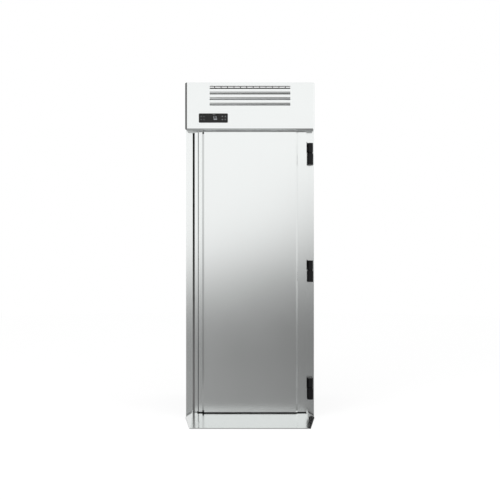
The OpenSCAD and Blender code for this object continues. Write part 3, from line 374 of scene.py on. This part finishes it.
FINISHES = {
    "floor_pan": zinc,
    "floor_core": cream_foam,
    "floor_plate": liner_steel,
    "floor_coves": liner_steel,
    "side_wall_cores": cream_foam,
    "back_wall_core": cream_foam,
    "ceiling_core": cream_foam,
    "left_outer_skin": steel_upright,
    "right_outer_skin": steel_upright,
    "back_outer_skin": zinc,
    "top_deck": steel_level,
    "side_liners": liner_steel,
    "back_liner": liner_steel,
    "ceiling_liner": liner_steel,
    "breaker_strips": white_plastic,
    "bumper_rails": liner_steel,
    "air_duct_panel": white_plastic,
    "lamp_housing": white_plastic,
    "lamp_lens": lamp_plastic,
    "temperature_probe": black_plastic,
    "ramp": tread_steel,
    "hinge_frame_halves": hinge_black,
    "hinge_lower_cams": cam_black,
    "side_shrouds": steel_deep,
    "top_cover": steel_deep,
    "rear_guard": zinc,
    "compressor": black_enamel,
    "compressor_feet": black_rubber,
    "compressor_terminal_cover": black_plastic,
    "condenser_coil": fin_stock,
    "condenser_fan_shroud": zinc,
    "condenser_fan_motor": black_enamel,
    "filter_drier": copper,
    "refrigerant_lines": copper,
    "evaporator_housing": steel_level,
    "evaporator_coil": fin_stock,
    "evaporator_fan_motors": black_enamel,
    "fan_guards": white_plastic,
    "electrical_box": zinc,
    "electrical_box_lid": zinc,
    "cable_gland": black_plastic,
    "condensate_tray": zinc,
    "drain_tube": white_plastic,
    "fascia_hinge_arms": zinc,
    "hinge_pins": ground_steel,
    "door_skin": steel_upright,
    "door_core": cream_foam,
    "door_end_caps": grey_plastic,
    "door_liner": liner_steel,
    "door_gasket": grey_rubber,
    "door_grip_profile": grip_plastic,
    "door_sweep": black_rubber,
    "hinge_door_halves": hinge_black,
    "hinge_upper_cams": cam_black,
    "fascia_shell": steel_level,
    "controller_bezel": black_plastic,
    "controller_panel": smoked_glass,
    "condenser_fan": fin_stock,
    "evaporator_fan_left": fin_stock,
    "evaporator_fan_right": fin_stock,
}


def dress_nodes():
    for name, finish in FINISHES.items():
        mesh = nodes[name].data
        mesh.materials.clear()
        mesh.materials.append(finish)


def soften(made, radius):
    """Rounds an object's sharp edges by a radius in millimetres."""
    bevel = made.modifiers.new("soft_edge", "BEVEL")
    bevel.width = radius * MM
    bevel.segments = 2
    bevel.limit_method = "ANGLE"
    bevel.angle_limit = SHARP
    bevel.harden_normals = True


def soften_edges():
    """Rounds the folds and edges that catch the light, each by its own radius."""
    radii = {
        "left_outer_skin": 0.5,
        "right_outer_skin": 0.5,
        "ramp": 0.8,
        "hinge_frame_halves": 1.2,
        "controller_bezel": 0.5,
        "evaporator_housing": 2.0,
        "electrical_box": 0.5,
        "compressor_terminal_cover": 2.0,
        "bumper_rails": 1.5,
        "door_gasket": 1.0,
    }
    for name, radius in radii.items():
        soften(nodes[name], radius)


# Small pieces made here

SIDES = 20  # of a turned form


def new_mesh(name, fill, finish):
    """A mesh whose shape is what fill adds."""
    mesh = bpy.data.meshes.new(name)
    shape = bmesh.new()
    fill(shape)
    shape.to_mesh(mesh)
    shape.free()
    mesh.materials.append(finish)
    return mesh


def new_object(name, data):
    made = bpy.data.objects.new(name, data)
    bpy.context.scene.collection.objects.link(made)
    return made


def placed(name, mesh, body):
    """An object of the mesh, on a body."""
    made = new_object(name, mesh)
    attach(made, body)
    return made


def piece(name, fill, finish, body):
    """A new piece of closed forms, which are what fill adds."""

    def fill_outward(shape):
        fill(shape)
        bmesh.ops.recalc_face_normals(shape, faces=shape.faces)

    placed(name, new_mesh(name, fill_outward, finish), body)


def add_block(shape, low, high):
    centre = (Vector(low) + Vector(high)) / 2
    scale = Matrix.Diagonal([*(b - a for a, b in zip(low, high)), 1.0])
    bmesh.ops.create_cube(shape, size=1.0, matrix=Matrix.Translation(centre) @ scale)


def add_prism(shape, section, bottom, top):
    """An upright prism, whose section is a list of (x, y)."""
    ends = [[shape.verts.new((x, y, z)) for x, y in section] for z in (bottom, top)]
    for i in range(len(section)):
        j = (i + 1) % len(section)
        shape.faces.new((ends[0][i], ends[0][j], ends[1][j], ends[1][i]))
    shape.faces.new(ends[0])
    shape.faces.new(reversed(ends[1]))


def add_turned(shape, profile, place):
    """A turned form of (radius, height) from the axis out and back to it, or round a section."""
    angles = [2 * math.pi * i / SIDES for i in range(SIDES)]
    rings = []
    for radius, height in profile:
        points = [Vector((radius * math.cos(a), radius * math.sin(a), height)) for a in angles]
        if radius == 0:
            points = points[:1]
        rings.append([shape.verts.new(place @ point) for point in points])
    if profile[0][0] > 0:
        rings.append(rings[0])
    for near, far in zip(rings, rings[1:]):
        for i in range(SIDES):
            j = (i + 1) % SIDES
            ends = (near, i), (near, j), (far, j), (far, i)
            corners = [ring[index % len(ring)] for ring, index in ends]
            shape.faces.new(list(dict.fromkeys(corners)))


# Screws

SCREW_RADIUS = 4.2 * MM
SCREW_HEIGHT = 2.4 * MM
# A domed head with a socket, as shares of the radius and the height
SCREW_HEAD = (
    (0, 0.45),
    (0.42, 0.45),
    (0.42, 1),
    (0.62, 1),
    (0.9, 0.72),
    (1, 0.3),
    (1, 0),
    (0, 0),
)
FORWARD, BACKWARD, UP = (0, -1, 0), (0, 1, 0), (0, 0, 1)


def spaced(start, end, count):
    start, end = Vector(start), Vector(end)
    return [start.lerp(end, i / (count - 1)) for i in range(count)]


def screws(name, rows):
    """Screws in rows of (points, normal), which stand on the points and face along the normal."""
    profile = [(radius * SCREW_RADIUS, height * SCREW_HEIGHT) for radius, height in SCREW_HEAD]

    def fill(shape):
        for points, normal in rows:
            turn = Vector(UP).rotation_difference(Vector(normal)).to_matrix().to_4x4()
            for point in points:
                add_turned(shape, profile, Matrix.Translation(point) @ turn)

    piece(name, fill, ground_steel, "cabinet")


def back_screws():
    low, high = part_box("rear_guard")
    skin_low, skin_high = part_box("back_outer_skin")
    edge = 14 * MM
    foot, head = 80 * MM, skin_high.z - 50 * MM
    y = high.y
    level = [
        spaced((low.x + edge, y, z), (high.x - edge, y, z), 6)
        for z in (high.z - edge, low.z + edge)
    ]
    upright = [
        spaced((x, y, foot), (x, y, head), 9) for x in (skin_low.x + edge, skin_high.x - edge)
    ]
    screws("back_screws", [(points, BACKWARD) for points in level + upright])


def cover_screws():
    low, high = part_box("top_cover")
    edge = 12 * MM
    front, back = low.y + 90 * MM, high.y - 40 * MM
    rows = [
        spaced((x, front, high.z), (x, back, high.z), 5) for x in (low.x + edge, high.x - edge)
    ]
    screws("cover_screws", [(points, UP) for points in rows])


def lid_screws():
    low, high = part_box("electrical_box_lid")
    edge = 10 * MM
    columns, levels = (low.x + edge, high.x - edge), (low.z + edge, high.z - edge)
    screws("lid_screws", [([(x, low.y, z) for x in columns for z in levels], FORWARD)])


def rail_screws():
    low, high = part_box("bumper_rails")
    half_rail, rail_face, end = 21 * MM, 24 * MM, 60 * MM
    rows = []
    for z in (low.z + half_rail, high.z - half_rail):
        for side in (-1, 1):
            x = side * (high.x - rail_face)
            points = spaced((x, low.y + end, z), (x, high.y - end, z), 3)
            rows.append((points, (-side, 0, 0)))
    screws("rail_screws", rows)


# Nodes whose forms differ a little from the CAD's. Sizes are in millimetres.

MARGIN_DEPTH = 13.0  # from the raised panel's face back to the door's margin
RISE_RADIUS = 13.0  # of the CAD's round rise from the pull lip to the margin
RISE_CENTRE = 30.0  # from the door's left edge to that rise's centre
RISE_STEP = 15  # degrees
# The steep rise in its place, one point for each step of the round one: how far from the door's
# left edge, and how far behind the margin
STEEP_RISE = (
    (29.2, 0.0),
    (27.9, 0.4),
    (26.9, 1.5),
    (25.6, 4.6),
    (24.4, 7.7),
    (23.2, 10.8),
    (21.8, 13.0),
)
# Section of the black strip that paints the shade in the crease beside the pull lip
SHADE_STRIP_SECTION = ((21.1, 13.1), (24.5, 5.3), (25.6, 5.3), (22.0, 13.1))  # measured likewise
LIP_WIDTH = 22.5
LIP_FOOT, LIP_DROP = 3.0, 2.5  # how much of the lip's foot moves, and how far down
HINGE_CENTRES = (195, 971, 1747)
HINGE_TOP = (60, 80)  # the tops of halves and pins, above a hinge's centre
HINGE_DROP = 4.8
GRIP_LEG = 5.0  # past the door's left edge, where the profile's leg starts
GRIP_WIDENING = 1.9
VANE_END = (6.5, 8.8)  # behind the fascia's face, where only the vanes' lower ends lie
VANE_FORWARD, VANE_LIFT = 4.2, 3.2
VENT_PITCH = 43
# The vents' front and back ends: how far behind the cover's front edge, and how far they move back
VENT_ENDS = ((6, 15), (48, 8))
BAR_THINNING = 1.9  # on each side of a bar between two vents
PANEL_EDGE = 11.5  # from the door's ends to the raised panel's face
# The dark plug in the panel's left bevel, painted shade of the pocket there: x, and how far behind
# the panel's face
SHADE_PLUG_SECTION = ((-314.6, 13.4), (-302.2, 13.4), (-302.2, 2.5))


def altered(name, node, alter, body):
    """A copy of a node's mesh, with each point passed through alter, in the node's place."""
    mesh = nodes[node].data.copy()
    mesh.name = name
    for vertex in mesh.vertices:
        alter(vertex.co)
    mesh.shade_smooth()
    mesh.set_sharp_from_angle(angle=SHARP)
    made = placed(name, mesh, body)
    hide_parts(node)
    return made


def steeper_rise(point, centre):
    """Moves a point of the round rise, or of its inner side, by the way from it to the steep."""
    across, deep = (centre.x - point.x) / MM, (centre.y - point.y) / MM
    reach = math.hypot(across, deep) / RISE_RADIUS
    in_quarter = across >= -0.01 and deep >= -1.5
    if not in_quarter or not 0.8 < reach < 1.05:
        return
    step = min(max(math.degrees(math.atan2(across, deep)), 0.0), 90.0) / RISE_STEP
    first = min(int(step), len(STEEP_RISE) - 2)
    near, far = STEEP_RISE[first], STEEP_RISE[first + 1]
    goal_x, goal_y = (a + (b - a) * (step - first) for a, b in zip(near, far))
    turn = math.radians(RISE_STEP * step)
    point.x += (goal_x - RISE_CENTRE + RISE_RADIUS * math.sin(turn)) * MM
    point.y += (goal_y - RISE_RADIUS + RISE_RADIUS * math.cos(turn)) * MM


def door_with_steep_lip():
    """The door's skin, end caps and foam, with the steep bend beside the pull lip."""
    low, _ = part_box("door_skin")
    deep = MARGIN_DEPTH + RISE_RADIUS
    centre = Vector((low.x + RISE_CENTRE * MM, low.y + deep * MM))

    def rise(point):
        steeper_rise(point, centre)
        if point.x < low.x + LIP_WIDTH * MM and point.z < low.z + LIP_FOOT * MM:
            point.z -= LIP_DROP * MM

    soften(altered("door_sheet", "door_skin", rise, "door"), 0.5)
    altered("door_caps", "door_end_caps", rise, "door")
    altered("door_foam", "door_core", rise, "door")


def lip_shade_strip():
    """The dark line beside the pull lip: a thin black plastic strip up the steep bend, painted shade
    in place of the shadow in that crease.
    """
    low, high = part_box("door_skin")
    section = [(low.x + x * MM, low.y + (MARGIN_DEPTH + y) * MM) for x, y in SHADE_STRIP_SECTION]
    short = 0.3 * MM

    def fill(shape):
        add_prism(shape, section, low.z + short, high.z - short)

    piece("lip_shade_strip", fill, black_plastic, "door")


def wider_grip():
    """The grip profile, whose leg stands a little further past the door's edge."""
    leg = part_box("door_skin")[0].x - GRIP_LEG * MM

    def widen(point):
        if point.x < leg:
            point.x -= GRIP_WIDENING * MM

    altered("grip_profile", "door_grip_profile", widen, "door")


def lower_hinge_tops():
    """The hinges' upper halves and pins, whose tops stand a little lower on the door."""
    start, end = HINGE_TOP

    def lower(point):
        if any(start * MM < point.z - centre * MM < end * MM for centre in HINGE_CENTRES):
            point.z -= HINGE_DROP * MM

    soften(altered("hinge_upper_halves", "hinge_door_halves", lower, "door"), 1.0)
    altered("hinge_pins_short", "hinge_pins", lower, "pins")


def cover_with_deep_vents():
    """The top cover, whose front vents lie further back, with thinner bars between them."""
    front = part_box("top_cover")[0].y
    pitch = VENT_PITCH * MM

    def move_back(point):
        for end, move in VENT_ENDS:
            if abs(point.y - front - end * MM) < MM:
                centre = round(point.x / pitch) * pitch
                point.x += math.copysign(BAR_THINNING * MM, point.x - centre)
                point.y += move * MM
                return

    altered("cover_sheet", "top_cover", move_back, "cabinet")


def fascia_with_full_vanes():
    """The fascia, whose three vanes end a little further forward and higher."""
    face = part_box("fascia_shell")[0].y
    start, end = VANE_END

    def lift(point):
        if start * MM < point.y - face < end * MM:
            point.y -= VANE_FORWARD * MM
            point.z += VANE_LIFT * MM

    soften(altered("louvred_shell", "fascia_shell", lift, "fascia"), 0.5)


def bevel_end_shade_plugs():
    """Dark plugs that close the ends of the raised panel's left bevel: painted shade in place of the
    shadow in the pockets there.
    """
    low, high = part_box("door_skin")
    section = [(x * MM, low.y + y * MM) for x, y in SHADE_PLUG_SECTION]
    edge, short = PANEL_EDGE * MM, 0.4 * MM

    def fill(shape):
        add_prism(shape, section, low.z + short, low.z + edge)
        add_prism(shape, section, high.z - edge, high.z - short)

    piece("bevel_end_shade_plugs", fill, black_plastic, "door")


# The controller's lit marks. Sizes are in millimetres, and places are from the panel's middle.

# A numeral's strokes, between the corners of two squares that stand one on the other
STROKES = {
    "top": ((0, 2), (1, 2)),
    "upper_left": ((0, 1), (0, 2)),
    "upper_right": ((1, 1), (1, 2)),
    "middle": ((0, 1), (1, 1)),
    "lower_right": ((1, 0), (1, 1)),
    "foot": ((0, 0), (1, 0)),
}
THREE = ("top", "upper_right", "middle", "lower_right", "foot")
FIVE = ("top", "upper_left", "middle", "lower_right", "foot")
NUMERAL_WIDTH = 4.8
HALF_STROKE = 0.65
RING_STROKE = 1.0


def controller_marks():
    """Generic marks in the glass: two numerals with a line over them, bars and rings."""
    low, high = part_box("controller_panel")
    middle_x, middle_z = (low.x + high.x) / 2, (low.z + high.z) / 2
    front, back = low.y - 0.25 * MM, low.y + 0.2 * MM
    left, right = (low.x - middle_x) / MM, (high.x - middle_x) / MM

    def bar(shape, x0, z0, x1, z1):
        start = (middle_x + x0 * MM, front, middle_z + z0 * MM)
        end = (middle_x + x1 * MM, back, middle_z + z1 * MM)
        add_block(shape, start, end)

    def numeral(shape, strokes, x, z):
        for stroke in strokes:
            (x0, z0), (x1, z1) = (
                (x + NUMERAL_WIDTH * across, z + NUMERAL_WIDTH * up)
                for across, up in STROKES[stroke]
            )
            bar(shape, x0 - HALF_STROKE, z0 - HALF_STROKE, x1 + HALF_STROKE, z1 + HALF_STROKE)

    def ring(shape, x, z, radius):
        place = Matrix.Translation((middle_x + x * MM, back, middle_z + z * MM))
        outer, inner, thick = radius * MM, (radius - RING_STROKE) * MM, back - front
        section = ((outer, 0), (outer, thick), (inner, thick), (inner, 0))
        add_turned(shape, section, place @ Matrix.Rotation(math.radians(90), 4, "X"))

    def signs(shape):
        for x in (left + 10.5, left + 28.5):
            ring(shape, x, 10, 2.6)
            bar(shape, x - 2.6, -10.4, x + 2.6, -8.8)
        for step in range(4):
            x = 2.5 + 5.8 * step
            bar(shape, x, -10.3, x + 4.6, -3.8)

    def reading(shape):
        numeral(shape, THREE, 0.6, 1.3)
        numeral(shape, FIVE, 15.2, 1.3)
        bar(shape, -3, 22.9, 8, 24.1)
        for x in (right - 31, right - 10.5):
            bar(shape, x - 2.2, 8.4, x + 2.2, 12)
            ring(shape, x, -9.6, 2.7)

    piece("controller_signs", signs, dim_mark, "fascia")
    piece("controller_reading", reading, bright_mark, "fascia")


# Floor, light and camera

def stage_floor():
    """A pale round floor: white ground with soft shadows for the camera, darker for metal."""
    finish = new_material("pale_floor")
    x, y, _ = finish.along(finish.place())
    # In metal the ground is darker to the right, with a brighter patch beside the cabinet
    ground = x.between(-1.0, 1.0, 1.2 * GROUND, 0.76 * GROUND) * y.between(-4.3, -1.3, 1.0, 1.15)
    ground = ground * y.between(-8.0, -4.5, 1.07, 1.0) * x.between(-2.5, -0.9, 0.6, 1.0)
    patch = x.between(0.6, 0.9) * x.between(1.6, 3.2, 1.0, 0.2) * y.between(-2.2, -1.2)
    ground = ground * (1.0 + 0.47 * patch)
    mirrored = finish.glow(finish.blend(y.between(-0.1, 0.7), ground, even(0.6)))
    lit = finish.node("ShaderNodeBsdfDiffuse", None, {"Color": (0.97, 0.97, 0.97, 1.0)})
    seen = finish.mixed(0.78, lit, finish.glow((1.0, 1.0, 1.0, 1.0)))
    rays = finish.node("ShaderNodeLightPath")
    shown = finish.mixed(rays.part("Is Camera Ray"), lit, seen)
    shown = finish.mixed(rays.part("Is Glossy Ray"), shown, mirrored)
    finish.node("ShaderNodeOutputMaterial", None, {"Surface": shown})

    def fill(shape):
        bmesh.ops.create_circle(shape, cap_ends=True, segments=96, radius=FAR)

    floor = new_object("floor", new_mesh("floor", fill, finish.owner))
    floor.location.z = -0.8 * MM


def low_horizon():
    """A far half ring before the cabinet, seen only in metal: dark ground under a bright room."""
    finish = new_material("far_ground")
    x, _, z = finish.along(finish.place())
    tilt = x.between(-2.2, 2.2, -0.45, 0.45)
    room = x.between(0.1, 1.7, ROOM, 0.8 * ROOM)
    tone = finish.blend((z - tilt).between(-0.05, 1.62), even(1.07 * GROUND), room)
    finish.node("ShaderNodeOutputMaterial", None, {"Surface": finish.glow(tone)})
    steps, foot, top = 48, -0.01, 2.2

    def fill(shape):
        angles = [math.radians(195 + 150 * i / steps) for i in range(steps + 1)]
        lower, upper = (
            [shape.verts.new((FAR * math.cos(a), FAR * math.sin(a), height)) for a in angles]
            for height in (foot, top)
        )
        for i in range(steps):
            shape.faces.new((lower[i], lower[i + 1], upper[i + 1], upper[i]))

    ring = new_object("far_ground", new_mesh("far_ground", fill, finish.owner))
    for kind in ("camera", "diffuse", "transmission", "volume_scatter", "shadow"):
        setattr(ring, "visible_" + kind, False)


def studio_world():
    """White all round for the camera; a bright room, darker overhead and aside, for metal."""
    world = bpy.data.worlds.new("studio")
    bpy.context.scene.world = world
    sky = Finish(world)
    x, y, z = sky.along(sky.node("ShaderNodeTexCoord").part("Generated"))
    room = sky.blend(z.between(-0.10, 0.0), even(GROUND), even(ROOM))
    room = sky.blend(z.between(0.16, 0.95) * 0.60, room, even(0.2))
    # To the sides, ahead and level with the cabinet
    aside = y.between(0.50, 0.40)
    left_tone = z.between(-0.12, 0.06, 0.2, 0.71)
    right_tone = z.between(-0.12, 0.03, 0.17, 0.92) + z.between(0.05, 0.14, 0.0, 0.12)
    room = sky.blend(x.between(-0.50, -0.90) * aside, room, left_tone)
    room = sky.blend(x.between(0.50, 0.90) * aside, room, right_tone)
    # Behind the cabinet, which only bevels and round folds mirror
    room = sky.blend(x.between(-0.36, -0.44) * y.between(0.40, 0.50), room, even(0.148))
    room = sky.blend(y.between(0.90, 0.94) * x.between(-0.10, -0.16) * 0.2, room, even(0.0))
    strip = x.between(0.08, 0.14) * x.between(0.36, 0.40, 1.0, 0.0) * z.between(0.05, 0.12)
    room = sky.blend(y.between(0.78, 0.90) * strip, room, even(0.0))
    rays = sky.node("ShaderNodeLightPath")
    mirrored = rays.part("Is Glossy Ray").highest(rays.part("Is Transmission Ray"))
    shown = sky.blend(mirrored, even(1.0), room)
    back = sky.node("ShaderNodeBackground", None, {"Color": shown, "Strength": 1.0})
    sky.node("ShaderNodeOutputWorld", None, {"Surface": back})


def area_lamp(name, place, aim, width, height, watts):
    data = bpy.data.lights.new(name, "AREA")
    data.shape = "RECTANGLE"
    data.size = width
    data.size_y = height
    data.energy = watts
    lamp = new_object(name, data)
    lamp.location = place
    lamp.rotation_euler = (Vector(aim) - Vector(place)).to_track_quat("-Z", "Y").to_euler()
    lamp.visible_glossy = False


def camera():
    """Level, straight in front of the cabinet, 5.6 m before its post faces."""
    data = bpy.data.cameras.new("camera")
    data.sensor_width = 36.0
    data.lens = 60.62
    eye = new_object("camera", data)
    eye.location = (0.0, -6.05, 1.105)
    eye.rotation_euler = (math.radians(90), 0, 0)
    bpy.context.scene.camera = eye


dress_nodes()
soften_edges()
back_screws()
cover_screws()
lid_screws()
rail_screws()
controller_marks()
door_with_steep_lip()
lip_shade_strip()
wider_grip()
lower_hinge_tops()
cover_with_deep_vents()
fascia_with_full_vanes()
bevel_end_shade_plugs()
stage_floor()
low_horizon()
studio_world()
area_lamp("key", (-2.2, -3.6, 3.6), (0, -0.4, 1.0), 2.0, 1.6, 60)
area_lamp("fill", (2.6, -3.2, 2.2), (0, -0.4, 1.0), 1.6, 2.2, 25)
camera()
bpy.context.scene.view_settings.view_transform = "Standard"
